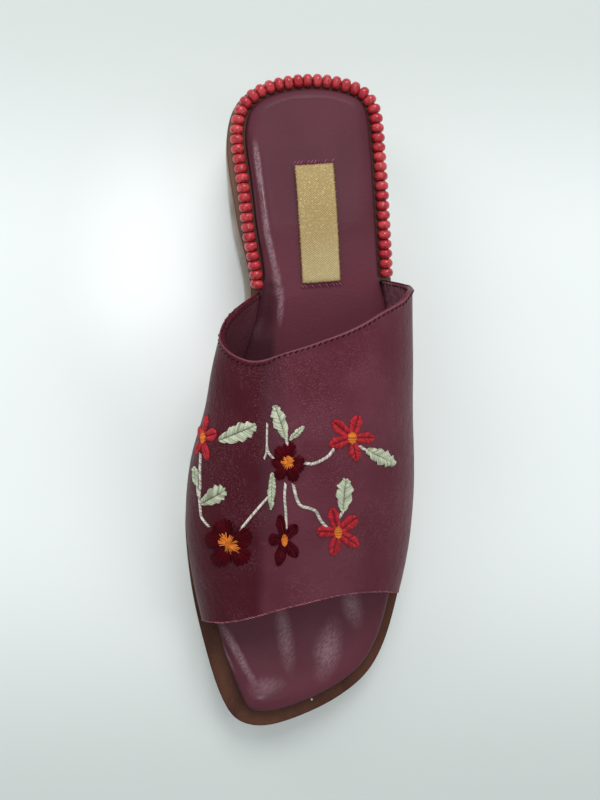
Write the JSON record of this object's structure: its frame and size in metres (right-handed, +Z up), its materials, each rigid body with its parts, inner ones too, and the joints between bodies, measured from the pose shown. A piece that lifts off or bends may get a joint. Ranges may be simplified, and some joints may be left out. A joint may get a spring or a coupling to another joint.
{
  "type": "open-toe mule sandal",
  "caption": "Backless open-toe mule sandal: wide embroidered leather vamp, padded insole in a two-layer sole, low block heel, string of wooden beads round the heel seat.",
  "frame": {"origin": "on the floor under the middle of the shoe's bounding box", "axes": "+Z up, +Y from toe to heel, -X to the inner (medial) side of this left shoe"},
  "size_m": [0.0922, 0.2566, 0.0779],
  "materials": {
    "outsole": "satin brown, fine grain, scuffed edge",
    "sole_rim": "brown edge-dyed leather board, fine grain, pale scuffs at the edge",
    "heel_block": "taupe leather-covered block, satin",
    "insole_leather": "burgundy leather, padded, semi-gloss with wear",
    "upper_leather": "burgundy grain leather, soft sheen, floral embroidery",
    "label_weave": "gold woven tab, slightly frayed, bare",
    "thread": "waxed red cotton thread",
    "bead_wood": "red lacquered wood, gloss"
  },
  "bodies": {
    "root": {"outsole": "outsole", "midsole": "sole_rim", "heel": "heel_block", "insole": "insole_leather", "upper": "upper_leather", "label": "label_weave", "bead_thread": "thread", "bead_01": "bead_wood", "bead_02": "bead_wood", "bead_03": "bead_wood", "bead_04": "bead_wood", "bead_05": "bead_wood", "bead_06": "bead_wood", "bead_07": "bead_wood", "bead_08": "bead_wood", "bead_09": "bead_wood", "bead_10": "bead_wood", "bead_11": "bead_wood", "bead_12": "bead_wood", "bead_13": "bead_wood", "bead_14": "bead_wood", "bead_15": "bead_wood", "bead_16": "bead_wood", "bead_17": "bead_wood", "bead_18": "bead_wood", "bead_19": "bead_wood", "bead_20": "bead_wood", "bead_21": "bead_wood", "bead_22": "bead_wood", "bead_23": "bead_wood", "bead_24": "bead_wood", "bead_25": "bead_wood", "bead_26": "bead_wood", "bead_27": "bead_wood", "bead_28": "bead_wood", "bead_29": "bead_wood", "bead_30": "bead_wood", "bead_31": "bead_wood", "bead_32": "bead_wood", "bead_33": "bead_wood", "bead_34": "bead_wood", "bead_35": "bead_wood", "bead_36": "bead_wood", "bead_37": "bead_wood", "bead_38": "bead_wood", "bead_39": "bead_wood", "bead_40": "bead_wood", "bead_41": "bead_wood", "bead_42": "bead_wood", "bead_43": "bead_wood", "bead_44": "bead_wood", "bead_45": "bead_wood", "bead_46": "bead_wood", "bead_47": "bead_wood", "bead_48": "bead_wood", "bead_49": "bead_wood", "bead_50": "bead_wood", "bead_51": "bead_wood", "bead_52": "bead_wood"}
  },
  "joints": []
}
